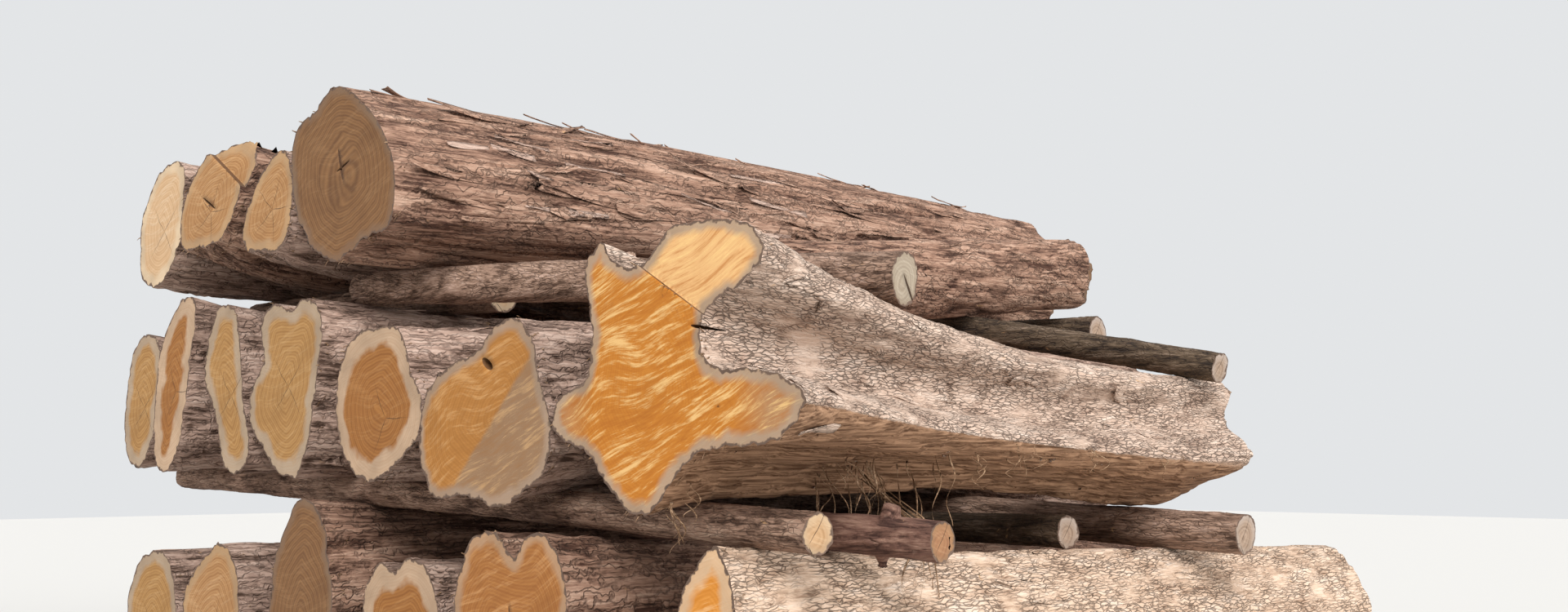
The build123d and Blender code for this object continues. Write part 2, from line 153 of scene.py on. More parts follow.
# Lifted strips by their bark: the log, how many, the shares of its length between which they start, the side
# that they lie on in degrees from straight up towards the front, and their longest, widest and highest lift.
STRIPS = {
    "russet": (
        ("top_log_2", 70, 0.03, 0.95, -20, 125, 0.22, 0.022, 0.018),
        ("top_log_2", 9, 0.05, 0.6, 20, 115, 0.30, 0.050, 0.030),
        ("top_log_4", 14, 0.02, 0.6, -20, 100, 0.16, 0.02, 0.016),
        ("top_log_1", 16, 0.1, 0.9, 10, 110, 0.12, 0.014, 0.010),
        ("bottom_log_2", 10, 0.02, 0.5, -40, 80, 0.14, 0.018, 0.012),
        ("bottom_log_4", 10, 0.02, 0.5, -40, 80, 0.14, 0.018, 0.012),
    ),
    "fibrous": (
        ("top_log_2", 12, 0.10, 0.55, 35, 105, 0.22, 0.020, 0.016),
        ("middle_log_2", 18, 0.02, 0.6, 0, 110, 0.14, 0.016, 0.012),
        ("middle_log_3", 14, 0.02, 0.5, 0, 110, 0.12, 0.014, 0.010),
        ("middle_log_4", 10, 0.02, 0.4, 0, 100, 0.12, 0.014, 0.010),
        ("top_log_3", 12, 0.02, 0.5, 0, 100, 0.14, 0.016, 0.012),
        ("top_log_5", 8, 0.02, 0.5, 0, 100, 0.12, 0.014, 0.010),
    ),
    "mottled": (
        ("middle_log_1", 22, 0.02, 0.8, 20, 110, 0.10, 0.012, 0.007),
    ),
    "straw_bark": (
        ("bottom_log_1", 20, 0.05, 0.9, 0, 100, 0.11, 0.012, 0.007),
    ),
}

# Sawn rims with torn fibres: the log, how many, and the longest.
FRAYED = (
    ("middle_log_1", 150, 0.014), ("middle_log_2", 70, 0.014), ("middle_log_3", 60, 0.012),
    ("middle_log_4", 50, 0.012), ("middle_log_5", 30, 0.010), ("top_log_1", 30, 0.010),
    ("top_log_2", 110, 0.014), ("top_log_3", 40, 0.012), ("top_log_4", 60, 0.014), ("top_log_5", 30, 0.010),
    ("bottom_log_1", 80, 0.014), ("bottom_log_2", 70, 0.012), ("bottom_log_3", 50, 0.010),
    ("bottom_log_4", 50, 0.012), ("bottom_log_5", 30, 0.010),
)

# Tufts of bark strings under the front log: where along the heap, from what height, the longest and the
# widest, how many, and how far their free ends hang forward.
STRINGS = (
    (-0.985, 0.430, 0.075, 0.0030, 5, 0.0), (-0.962, 0.450, 0.045, 0.0030, 3, 0.0),
    (-0.700, 0.480, 0.110, 0.0025, 6, 0.0), (-0.690, 0.500, 0.060, 0.0020, 5, 0.0),
    (-0.645, 0.495, 0.120, 0.0035, 6, 0.0), (-0.622, 0.495, 0.130, 0.0020, 6, 0.0),
    (-0.600, 0.470, 0.260, 0.0070, 2, 0.11), (-0.592, 0.470, 0.230, 0.0030, 4, 0.11),
    (-0.540, 0.500, 0.140, 0.0030, 5, 0.0), (-0.470, 0.500, 0.060, 0.0030, 4, 0.0),
    (-0.380, 0.510, 0.040, 0.0030, 4, 0.0), (-0.330, 0.510, 0.050, 0.0020, 3, 0.0),
    (-0.160, 0.510, 0.045, 0.0030, 4, 0.0), (0.050, 0.500, 0.040, 0.0025, 3, 0.0),
)

# Half the floor's side.
FLOOR_REACH = 12
# Lamps: the place that each shines from, its share of the key light, and its spread in degrees.
LAMPS = {"key": ((-3.1, -3.2, 4.4), 1.0, 28), "fill": ((1.4, -4.6, 2.0), 0.62, 50)}
# What the lamps shine at.
LAMP_TARGET = (0, -0.2, 0.6)
# How bright the sky is in the view and in gloss.
SEEN_SKY = 0.9


def linear(text):
    """A hex colour as linear numbers with a full alpha."""
    parts = [int(text[place : place + 2], 16) / 255 for place in (1, 3, 5)]
    return [part / 12.92 if part <= 0.04045 else ((part + 0.055) / 1.055) ** 2.4 for part in parts] + [1.0]


class BarkSizes(bpy.types.PropertyGroup):
    """Sizes of the bark's relief."""

    furrow_depth: bpy.props.FloatProperty(
        name="Furrow Depth", description="Depth of the long furrows", default=0.006, unit="LENGTH"
    )
    furrow_length: bpy.props.FloatProperty(
        name="Furrow Length", description="Length of a furrow along the grain", default=0.16, unit="LENGTH"
    )
    furrow_spacing: bpy.props.FloatProperty(
        name="Furrow Spacing",
        description="Room between furrows across the grain",
        default=0.03,
        unit="LENGTH",
    )
    plate_step: bpy.props.FloatProperty(
        name="Plate Step",
        description="Height of the torn edges between plates of bark",
        default=0.005,
        unit="LENGTH",
    )


class WoodColours(bpy.types.PropertyGroup):
    """Colours of the front log's sawn butt."""

    heart: bpy.props.FloatVectorProperty(
        name="Heartwood", description="Fresh heartwood", subtype="COLOR", size=4, default=linear("#C98430")
    )
    sap: bpy.props.FloatVectorProperty(
        name="Sapwood", description="Weathered sapwood", subtype="COLOR", size=4, default=linear("#AB9680")
    )


class StageSettings(bpy.types.PropertyGroup):
    """The floor, the sky, the lamps and the camera."""

    floor_colour: bpy.props.FloatVectorProperty(
        name="Floor", description="Colour of the floor", subtype="COLOR", size=4, default=linear("#D8D6D2")
    )
    sky_colour: bpy.props.FloatVectorProperty(
        name="Sky", description="Colour of the sky", subtype="COLOR", size=4, default=linear("#EEF0F2")
    )
    sky_light: bpy.props.FloatProperty(
        name="Sky Light", description="How strongly the sky lights the logs", default=0.6
    )
    key_light: bpy.props.FloatProperty(
        name="Key Light", description="The main lamp, in watts per square metre", default=3.0
    )
    camera_place: bpy.props.FloatVectorProperty(
        name="Camera",
        description="Where the camera stands",
        default=(-2.7054, -2.8155, 0.5),
        subtype="TRANSLATION",
    )
    camera_turn: bpy.props.FloatProperty(
        name="Turn",
        description="Turn of the view from +X towards +Y",
        default=math.radians(46),
        subtype="ANGLE",
    )
    camera_tilt: bpy.props.FloatProperty(
        name="Tilt",
        description="Tilt of the view above the horizon",
        default=math.radians(4.81),
        subtype="ANGLE",
    )
    focal_length: bpy.props.FloatProperty(
        name="Focal Length", description="In millimetres, for a frame 36 mm wide", default=41.25
    )


def lattice_noise(places, seed):
    """Smooth noise from 0 to 1 at each place, with one unit between its knots."""
    cell = np.floor(places).astype(np.int64)
    part = places - cell
    part = part * part * (3 - 2 * part)
    total = np.zeros(len(places))
    for corner in range(8):
        step = np.array([corner >> 2 & 1, corner >> 1 & 1, corner & 1])
        weight = np.prod(np.where(step, part, 1 - part), axis=1)
        knot = cell + step
        mixed = (knot[:, 0] * 73856093) ^ (knot[:, 1] * 19349663) ^ (knot[:, 2] * 83492791) ^ (seed * 7919)
        mixed = ((mixed ^ (mixed >> 13)) * 1274126177) & 0xFFFFFFFF
        mixed = ((mixed ^ (mixed >> 16)) * 2246822519) & 0xFFFFFFFF
        total += weight * ((mixed >> 8) & 0xFFFF) / 65535
    return total


def grain_noise(places, along, size, length, seed, layers=2):
    """Noise drawn out along the grain, which runs along an axis: length along it and size across it."""
    scale = np.full(3, 1 / size)
    scale[along] = 1 / length
    total, share = np.zeros(len(places)), 0.0
    for layer in range(layers):
        total += lattice_noise(places * scale * 2**layer, seed + layer) / 2**layer
        share += 1 / 2**layer
    return total / share


def bark_relief(places, along, seed, shape, sizes):
    """How far bark stands from the log's smooth form, in metres, and how much painted shade darkens its
    furrows and the foot of its plates' torn edges.
    """
    bend = np.zeros_like(places)
    for axis in range(3):
        if axis != along:
            bend[:, axis] = WANDER * (grain_noise(places, along, *WANDER_SIZE, seed + 11 + axis) - 0.5)
    bent = places + bend
    spacing, length = sizes.furrow_spacing * shape["spacing"], sizes.furrow_length * shape["length"]
    furrow = 1 - abs(2 * grain_noise(bent, along, spacing, length, seed) - 1)
    furrow = np.clip((furrow - FURROW_FROM) / (1 - FURROW_FROM), 0, 1) ** FURROW_POWER
    # Plates of bark lie over one another like terraces, with torn edges along the grain.
    plate = grain_noise(bent, along, PLATE_WIDER * spacing, PLATE_LONGER * length, seed + 5, 3) * PLATE_LEVELS
    level = np.floor(plate)
    edge = np.clip((plate - level) * EDGE_STEEPNESS, 0, 1)
    rough = grain_noise(places, along, *ROUGH_SIZE, seed + 9) - 0.5
    height = (
        -sizes.furrow_depth * shape["furrow"] * furrow
        + sizes.plate_step * shape["plate"] * ((level + edge) - SOLID_LEVEL)
        + ROUGHNESS * rough
    )
    # Painted shade: the colour is darker in the furrows and at the foot of each plate's torn edge.
    dark = np.clip(furrow * 0.8 + (1 - edge) * 0.5, 0, 1)
    return height, dark


def sort_faces(form, along):
    """Gives each face its material place, and each face of an end what made it."""
    cut = form.faces.layers.float.new("cut")
    form.faces.index_update()
    form.normal_update()
    place_of = [-1] * len(form.faces)
    patches = []
    for first in form.faces:
        if place_of[first.index] >= 0:
            continue
        patch = [first]
        place_of[first.index] = len(patches)
        for face in patch:
            for edge in face.edges:
                if edge.calc_face_angle(math.pi) > SHARP:
                    continue
                for other in edge.link_faces:
                    if place_of[other.index] < 0:
                        place_of[other.index] = len(patches)
                        patch.append(other)
        patches.append(patch)
    areas = [sum(face.calc_area() for face in patch) for patch in patches]
    low = min(vert.co[along] for vert in form.verts)
    high = max(vert.co[along] for vert in form.verts)
    for place, reach in ((NEAR_END, low), (FAR_END, high)):
        at_end = []
        for patch, area in zip(patches, areas):
            middle = sum(face.calc_center_median()[along] for face in patch) / len(patch)
            if area < max(areas) and abs(middle - reach) < END_REACH:
                at_end.append((area, patch))
        largest = max(area for area, patch in at_end)
        for area, patch in at_end:
            square = sum(abs(face.normal[along]) for face in patch) / len(patch) > SQUARE
            kind = SAWN if area == largest else SECOND_CUT if square and area > LEAST_CUT * largest else SPLIT
            for face in patch:
                face.material_index = place
                face[cut] = kind
    return cut


def split_long(form, edges, side):
    """Divides those of the edges that are longer than given, once, and says whether there were any."""
    long = [edge for edge in edges if edge.calc_length() > side]
    if long:
        bmesh.ops.subdivide_edges(form, edges=long, cuts=1)
        bmesh.ops.triangulate(form, faces=[face for face in form.faces if len(face.verts) > 3])
    return bool(long)


def inner_edges(form):
    """The faces of the sawn ends, and the edges that lie between two of them, each once and in order."""
    faces = [face for face in form.faces if face.material_index != BARK]
    edges = dict.fromkeys(edge for face in faces for edge in face.edges)
    return faces, [edge for edge in edges if all(face.material_index != BARK for face in edge.link_faces)]


def dense_copy(node, side, along):
    """A merged copy of a CAD node's mesh with even triangles of about the given side, also on its ends."""
    form = bmesh.new()
    form.from_mesh(node.data)
    bmesh.ops.remove_doubles(form, verts=form.verts, dist=SAME_POINT)
    cut = sort_faces(form, along)
    # Bark points that crowd together are merged too, clear of the ends and their splits.
    crowding = CROWDING * side if side > FINE_SIDE else FINE_CROWDING
    kept = {vert for face in form.faces if face.material_index != BARK for vert in face.verts}
    crowded = [vert for vert in form.verts if vert not in kept]
    bmesh.ops.remove_doubles(form, verts=crowded, dist=crowding)

    def is_flat(edge):
        first, *others = edge.link_faces
        if len(others) != 1:
            return False
        return others[0][cut] == first[cut] and others[0].normal.dot(first.normal) > SAME_PLANE

    for _ in range(BARK_ROUNDS):
        outer = [edge for edge in form.edges if any(face.material_index == BARK for face in edge.link_faces)]
        if not split_long(form, outer, BARK_EDGE * side):
            break
    for _ in range(END_ROUNDS):
        if not split_long(form, inner_edges(form)[1], END_EDGE * side):
            break
        form.normal_update()
        faces, edges = inner_edges(form)
        bmesh.ops.beautify_fill(form, faces=faces, edges=[edge for edge in edges if is_flat(edge)])
    bmesh.ops.recalc_face_normals(form, faces=form.faces)
    return form


def read_mesh(mesh):
    """A mesh's points, the corners of its triangles, and their material places."""
    places = np.empty(len(mesh.vertices) * 3)
    mesh.vertices.foreach_get("co", places)
    corners = np.empty(len(mesh.polygons) * 3, np.int32)
    mesh.loops.foreach_get("vertex_index", corners)
    kinds = np.empty(len(mesh.polygons), np.int32)
    mesh.polygons.foreach_get("material_index", kinds)
    return places.reshape(-1, 3), corners.reshape(-1, 3), kinds


def side_normals(places, corners, kinds, along):
    """Each point's normal from the bark faces alone, square to the log on the rims of its sawn ends."""
    first, second, third = (places[corners[:, corner]] for corner in range(3))
    facing = np.cross(second - first, third - first)
    normals = np.zeros_like(places)
    for corner in range(3):
        np.add.at(normals, corners[kinds == BARK, corner], facing[kinds == BARK])
    on_end = np.zeros((3, len(places)), bool)
    for kind in (NEAR_END, FAR_END):
        on_end[kind][corners[kinds == kind]] = True
    normals[on_end[NEAR_END] | on_end[FAR_END], along] = 0
    length = np.linalg.norm(normals, axis=1)
    inner = length < 1e-12
    normals[~inner] /= length[~inner, None]
    return normals, inner, on_end


def depth_from_rim(places, corners, kinds, kind, inner):
    """How far each inner point of an end lies from the end's rim."""
    ring = corners[kinds == kind]
    sides = np.concatenate([ring[:, (0, 1)], ring[:, (1, 2)], ring[:, (2, 0)]])
    sides = sides[(~inner[sides]).all(axis=1)]
    first, second = places[sides[:, 0]], places[sides[:, 1]]
    rim = np.concatenate([first * (1 - part) + second * part for part in (0, 0.25, 0.5, 0.75)])
    tree = KDTree(len(rim))
    for index, place in enumerate(rim):
        tree.insert(place, index)
    tree.balance()
    depth = np.zeros(len(places))
    for point in np.unique(ring):
        if inner[point]:
            depth[point] = tree.find(places[point])[2]
    return depth, (rim.min(0) + rim.max(0)) / 2


def new_piece(name, mesh, node, materials):
    """Puts a mesh in the scene as a piece that stands for a CAD node."""
    piece = bpy.data.objects.new(name, mesh)
    bpy.context.scene.collection.objects.link(piece)
    for material in materials:
        mesh.materials.append(material)
    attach(piece, "root")
    if node:
        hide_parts(node)
    return piece


def wear_back(places, inner, along, worn, seed):
    """Breaks a worn far end back along the log, most at its rim."""
    from_end = places[:, along].max() - places[:, along]
    near_end = np.clip(1 - from_end / (WEAR_REACH * worn), 0, 1) ** 2
    bite = np.clip(grain_noise(places, along, BITE_WIDTH, 10.0, seed + 31, 3) * 2.4 - 0.7, 0, 1)
    bite[inner] *= INNER_WEAR
    places[:, along] -= worn * near_end * bite


def belly_shade_of(places, normals, along):
    """How much each point belongs to the log's underside, whose tone is painted shade, from 0 to 1."""
    axis_height = np.polyval(np.polyfit(places[:, along], places[:, 2], 1), places[:, along])
    under = np.clip((axis_height - places[:, 2]) / BELLY_SHADE_FADE - 0.1, 0, 1)
    return np.clip(-normals[:, 2] * 2.2 + 0.35, 0, 1) * under


def sharpen_rims(mesh, on_rims):
    """Keeps the rims sharp: their edges join two points that both lie on the bark and on the same end."""
    ends_of = np.empty(len(mesh.edges) * 2, np.int32)
    mesh.edges.foreach_get("vertices", ends_of)
    ends_of = ends_of.reshape(-1, 2)
    sharp = np.zeros(len(mesh.edges), bool)
    for on_rim in on_rims:
        sharp |= on_rim[ends_of].all(axis=1)
    mesh.attributes.new("sharp_edge", "BOOLEAN", "EDGE").data.foreach_set("value", sharp)


def dress(node_name, finish, along, sizes, seed):
    """Makes one log or pole: bark relief on its round side, even meshes on its sawn ends."""
    form = dense_copy(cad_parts[node_name], finish["side"], along)
    mesh = bpy.data.meshes.new(node_name + "_wood")
    form.to_mesh(mesh)
    form.free()
    places, corners, kinds = read_mesh(mesh)
    normals, inner, on_end = side_normals(places, corners, kinds, along)
    height, dark = bark_relief(places, along, seed, BARK_FORMS[finish["form"]], sizes)
    height[inner] = 0
    places = places + normals * np.minimum(height, STANDS_OUT)[:, None]
    # Bark is pressed flat where it lies on the floor.
    places[:, 2] = np.maximum(places[:, 2], 0.0)
    if "worn" in finish:
        wear_back(places, inner, along, finish["worn"], seed)
    # The furrow and belly attributes carry painted shade: darker furrows, plate feet and underside.
    attributes = {"furrow": dark, "belly": belly_shade_of(places, normals, along), "rim_depth": np.zeros(len(dark))}
    across = [axis for axis in range(3) if axis != along]
    flat = places[corners][:, :, across]
    for kind in (NEAR_END, FAR_END):
        depth, middle = depth_from_rim(places, corners, kinds, kind, inner)
        attributes["rim_depth"] += depth
        flat[kinds == kind] -= middle[across] + np.array(finish.get("pith", (0.0, 0.0)))
    mesh.vertices.foreach_set("co", places.ravel())
    for name, values in attributes.items():
        mesh.attributes.new(name, "FLOAT", "POINT").data.foreach_set("value", values)
    mesh.uv_layers.new(name="end_plane").uv.foreach_set("vector", flat.ravel())
    mesh.polygons.foreach_set("use_smooth", np.ones(len(kinds), bool))
    sharpen_rims(mesh, [on_end[kind] & ~inner for kind in (NEAR_END, FAR_END)])
    mesh.update()
    end = material("end_" + finish["end"])
    bark = material("bark_" + finish["bark"])
    return new_piece(node_name + "_bark", mesh, node_name, [bark, end, end])


def shell_of(name):
    """A dressed log's surface for casting rays, and its middle line as a function of the place along it."""
    mesh = bpy.data.objects[name + "_bark"].data
    form = bmesh.new()
    form.from_mesh(mesh)
    tree = BVHTree.FromBMesh(form)
    form.free()
    places = read_mesh(mesh)[0]
    lines = [np.polyfit(places[:, 0], places[:, axis], 1) for axis in (1, 2)]
    return tree, lambda x: Vector((x, *(float(np.polyval(line, x)) for line in lines))), places[:, 0]


def new_ribbon(form, place_at, thickness, rows=8, columns=2):
    """Adds a ribbon with a thickness: a grid whose points go where a function of (along, across) says."""
    verts = bmesh.ops.create_grid(form, x_segments=rows, y_segments=columns, size=0.5)["verts"]
    places = [place_at(vert.co.x + 0.5, vert.co.y) for vert in verts]
    if None in places:
        bmesh.ops.delete(form, geom=verts, context="VERTS")
        return
    for vert, place in zip(verts, places):
        vert.co = place.x, place.y, max(place.z, thickness)
    faces = list(dict.fromkeys(face for vert in verts for face in vert.link_faces))
    bmesh.ops.solidify(form, geom=faces, thickness=thickness)


def loose_piece(name, form, finish):
    """Ends a group of ribbons as one piece that rides with the heap."""
    bmesh.ops.recalc_face_normals(form, faces=form.faces)
    mesh = bpy.data.meshes.new(name)
    form.to_mesh(mesh)
    form.free()
    mesh.polygons.foreach_set("use_smooth", np.ones(len(mesh.polygons), bool))
    return new_piece(name, mesh, None, [material("bark_" + finish)])


def lift_strips(form, name, count, near, far, low, high, longest, widest, lift, draws):
    """Lays torn strips of bark along a log, each stuck down at one end and standing off at the other."""
    tree, middle, reach = shell_of(name)
    start, end = reach.min(), reach.max()
    for _ in range(count):
        length, width = longest * draws.uniform(0.3, 1.0), widest * draws.uniform(0.25, 1.0)
        first = start + (end - start) * draws.uniform(near, far)
        turn, skew = math.radians(draws.uniform(low, high)), draws.uniform(-0.12, 0.12)
        heading = draws.choice((-1, 1))
        rise, taper = lift * draws.uniform(0.15, 1.0), draws.uniform(0.3, 0.9)
        phase = draws.uniform(0, 6)

        def place_at(along, across):
            x = first + heading * length * along
            if not start + END_MARGIN < x < end - END_MARGIN:
                return None
            side = width * across * (1 - taper * along**2) * (0.7 + 0.3 * math.sin(5 * along + phase))
            angle = turn + skew * along + side / USUAL_RADIUS
            out = Vector((0, -math.sin(angle), math.cos(angle)))
            hit, normal = tree.ray_cast(middle(x) + RAY_REACH * out, -out)[:2]
            if hit is None:
                return None
            curl = 0.25 * abs(across) * rise * along
            return hit + normal * (0.0005 + rise * along**2.5) + out * curl

        new_ribbon(form, place_at, STRIP_THICKNESS)


def fray_rim(form, name, count, longest, draws):
    """Sets torn fibres round a log's sawn butt, pointing out past the cut."""
    tree, middle, reach = shell_of(name)
    start = reach.min()
    for _ in range(count):
        angle, x = draws.uniform(0, 2 * math.pi), start + draws.uniform(0.004, 0.03)
        length, width = longest * draws.uniform(0.25, 1.0) ** 2, draws.uniform(0.0012, 0.0042)
        droop, spread = draws.uniform(-0.2, 0.9), draws.uniform(0.05, 0.7)
        out = Vector((0, -math.sin(angle), math.cos(angle)))
        hit, normal = tree.ray_cast(middle(x) + RAY_REACH * out, -out)[:2]
        if hit is None or abs(normal.x) > CUT_FACING:
            continue
        round_it = out.cross(Vector((1, 0, 0)))

        def place_at(along, across):
            step = Vector((-length * along, 0, -droop * length * along**2))
            aside = round_it * (width * across * (1 - 0.85 * along))
            return hit + step + out * (spread * length * along) + aside

        new_ribbon(form, place_at, FIBRE_THICKNESS, rows=3, columns=1)


def hang_strings(form, name, tufts, draws):
    """Hangs tufts of bark strings from a log's front."""
    tree = shell_of(name)[0]
    for x, height, longest, width, count, forward in tufts:
        for _ in range(count):
            aim = Vector((x + draws.uniform(-0.008, 0.008), -2.0, height + draws.uniform(-0.012, 0.012)))
            hit, normal = tree.ray_cast(aim, Vector((0, 1, 0)))[:2]
            if hit is None:
                continue
            length = longest * draws.uniform(0.5, 1.0)
            curl, lean, phase = draws.uniform(0.003, 0.014), draws.uniform(-0.25, 0.35), draws.uniform(0, 6)
            turn, waves = draws.uniform(0, math.pi), draws.uniform(4, 9)

            def place_at(along, across):
                drop = length * along
                swing = curl * (math.sin(waves * along + phase) - math.sin(phase))
                away = -0.006 - forward * min(1.0, 2.2 * along) - curl * (1 - math.cos(waves * along))
                spin = turn + 4 * along
                flat = Vector((math.cos(spin), math.sin(spin), 0)) * (width * across * (1 - 0.7 * along**2))
                return hit + normal * 0.001 + Vector((lean * drop + swing, away, -drop)) + flat

            new_ribbon(form, place_at, STRING_THICKNESS, rows=14, columns=1)


def put(tree, kind, *inputs, stops=(), **settings):
    """Adds a shader node with its properties, a ramp's (place, colour) stops, and inputs in order or by name.

    An input is a number, a vector, a hex colour, an output to link, or a node, which gives its first output.
    """
    node = tree.nodes.new("ShaderNode" + kind)
    named = {name: value for name, value in settings.items() if not hasattr(node, name)}
    for name, value in settings.items():
        if name not in named:
            setattr(node, name, value)
    band = node.color_ramp.elements if stops else ()
    while len(band) < len(stops):
        band.new(0.5)
    for element, (place, colour) in zip(band, stops):
        element.position, element.color = place, linear(colour)
    pairs = list(zip((socket for socket in node.inputs if socket.enabled), inputs))
    pairs += [(node.inputs[name.replace("_", " ")], value) for name, value in named.items()]
    for socket, value in pairs:
        if isinstance(value, bpy.types.Node):
            value = next(output for output in value.outputs if output.enabled)
        if isinstance(value, bpy.types.NodeSocket):
            tree.links.new(value, socket)
        else:
            socket.default_value = linear(value) if isinstance(value, str) else value
    return node


def blank(name):
    """A new material without nodes, and the function that adds them to it."""
    made = bpy.data.materials.new(name)
    made.use_nodes = True
    made.node_tree.nodes.clear()
    return made, partial(put, made.node_tree)


def grain_pattern(node, along, size, detail, distortion=0.0):
    """Noise drawn out along the grain in object coordinates, with a size across and along it."""
    scale = [1 / size[0]] * 3
    scale[along] = 1 / size[1]
    place = node("Mapping", node("TexCoord").outputs["Object"], Scale=scale)
    return node("TexNoise", place, Scale=1.0, Detail=detail, Roughness=0.6, Distortion=distortion)


def swayed(node, place, noise, reach):
    """Coordinates that a noise's colours push aside, by up to a reach."""
    push = node("VectorMath", noise.outputs["Color"], reach, operation="SCALE")
    return node("VectorMath", place, push, operation="ADD")


# Patterns on bark, by their size across and along the grain: broad tones; hairs of fibre, drawn as coarse as
# they need to show; patches a hand wide where the outer layer is off; chips; streaks in the painted shade of
# the log's underside; and the areas that drying has crazed.
BROAD_TONES, HAIRS = (0.045, 0.20), (0.0022, 0.02)
TORN_PATCHES, CHIPS = (0.035, 0.11), (0.022, 0.045)
BELLY_SHADE_STREAKS, CRAZED_AREAS = (0.005, 0.16), (0.05, 0.09)
# How wide a fibre is; its length is each bark's own.
FIBRE_WIDTH = 0.0055
# How much each pattern and the painted shade of the furrows give to bark's tone, and the tone of its body.
FIBRE_SHARE, BROAD_SHARE, HAIR_SHARE, FURROW_SHADE_SHARE = 0.50, 0.26, 0.24, -0.14
BODY_TONE = 0.485
# Fresh wood under a chip, and the dark of drying cracks and how wide they are as a share of the plates.
CHIPPED, CRACK_TONE, CRACK_SHARE = ("#7A5230", "#E6BE90"), "#3A2A22", 0.12

# Growth rings, drawn further apart than real ones so that they show: broad bands and single rings.
RING_BAND, RING = 0.026, 0.0105
# Saw streaks: the way they run across the cut, and their length, width and depth.
SAW_TURN, SAW_STREAK = math.radians(158), (0.075, 0.008, 1.0)
# Where a second cut's lobes have greyed, how far from the pith that starts, and how it fades.
GREYED, GREY_FROM, GREY_FADE = "#A0876C", 0.165, 0.07
# How softly a half's stain ends, and the sapwood.
HALF_FADE, SAP_FADE = 0.012, 0.012
# Stained wood, weathered sapwood, the bark's own edge, the dark of drying cracks, and the painted shade on
# the walls of splits.
STAIN_TONE, WEATHERED, BARK_EDGES = "#3A2417", "#7C6854", ("#3E2E24", "#80695A")
END_CRACK, SPLIT_WALL_SHADE = "#2A1B12", "#4A3222"
# Half a drying crack's width at the pith, and how much it closes with each metre outwards.
CRACK_WIDTH, CRACK_CLOSES = 0.0016, -0.016

# Bark: its dark, middle and pale tones, the patches where an outer layer is off, the length of its fibres,
# how softly its tones run into each other, the plates that drying cracks part it into (across and along) and
# how dark those cracks are; the axis that its grain follows; the darker, streaked tones painted as shade on
# the log's underside, where the relief is also smoother.
BARKS = {
    "mottled": dict(
        stops=("#8A7060", "#CBB19E", "#E8D6C7"), patch="#DCC6B4", fibre=0.05, reach=0.19,
        plates=(0.005, 0.026), crazed=0.85, belly=("#5E412C", "#B08A6C"),
    ),
    "fibrous": dict(
        stops=("#523E33", "#B29585", "#D6BDAD"), patch="#8D7363", fibre=0.10, plates=(0.012, 0.10), crazed=0.6
    ),
    "russet": dict(
        stops=("#4A3126", "#9F7C68", "#CBAA94"), patch="#7C533C", fibre=0.12,
        plates=(0.016, 0.16), crazed=0.75,
    ),
    "straw_bark": dict(
        stops=("#93755F", "#D2B69E", "#EAD8C8"), patch="#D8B697", fibre=0.05, reach=0.19,
        plates=(0.0055, 0.028), crazed=0.85,
    ),
    "string": dict(stops=("#453223", "#8A6B50", "#BFA083"), patch="#6E5542", fibre=0.03),
    "pole_brown": dict(
        stops=("#4E382C", "#9A7B68", "#C4A792"), patch="#87695A", plates=(0.006, 0.04), crazed=0.5, along=1
    ),
    "pole_smooth": dict(stops=("#3F2A24", "#735448", "#9C7C6B"), patch="#B79C88", along=1),
    "pole_dark": dict(
        stops=("#2F2620", "#61503F", "#94806F"), patch="#5A493F", plates=(0.008, 0.09), crazed=0.5, along=1
    ),
    "pole_pale": dict(
        stops=("#5B4538", "#A0826F", "#C6A897"), patch="#8A6F60", plates=(0.006, 0.05), crazed=0.55, along=1
    ),
}

